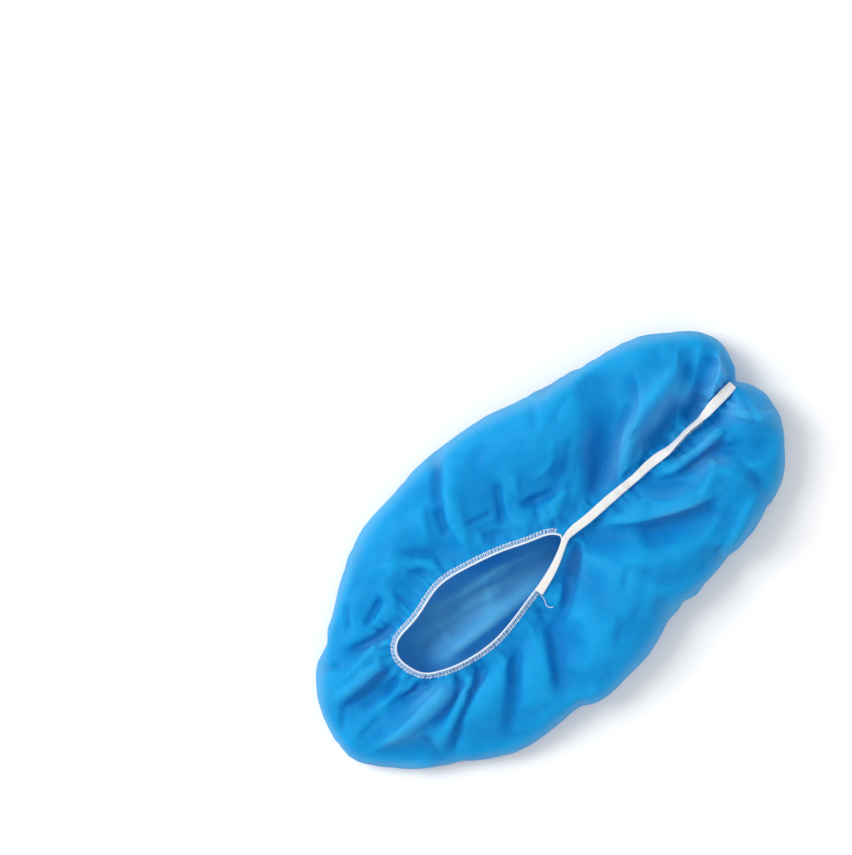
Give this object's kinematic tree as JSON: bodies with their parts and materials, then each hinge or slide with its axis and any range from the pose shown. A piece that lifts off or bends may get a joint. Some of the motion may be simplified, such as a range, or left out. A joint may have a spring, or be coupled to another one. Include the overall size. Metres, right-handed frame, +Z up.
{
  "type": "disposable shoe cover",
  "caption": "Thin non-woven bag worn over a shoe, open at the top, with an elastic edge round the foot opening and a stretch tape along its front seam.",
  "frame": {"origin": "on the floor under the middle of the outline, as the cover lies on its sole", "axes": "+Y from the heel to the toe, +Z up out of the foot opening, +X to the right seen from above with the toe up"},
  "size_m": [0.1713, 0.3218, 0.0473],
  "materials": {
    "nonwoven_fabric": "matt spunbonded fabric with fine dots",
    "edge_thread": "matt overlocked thread",
    "stretch_tape": "matt woven elastic"
  },
  "bodies": {
    "root": {"cover_body": "nonwoven_fabric", "mouth_edging": "edge_thread", "elastic_tape": "stretch_tape"}
  },
  "joints": []
}
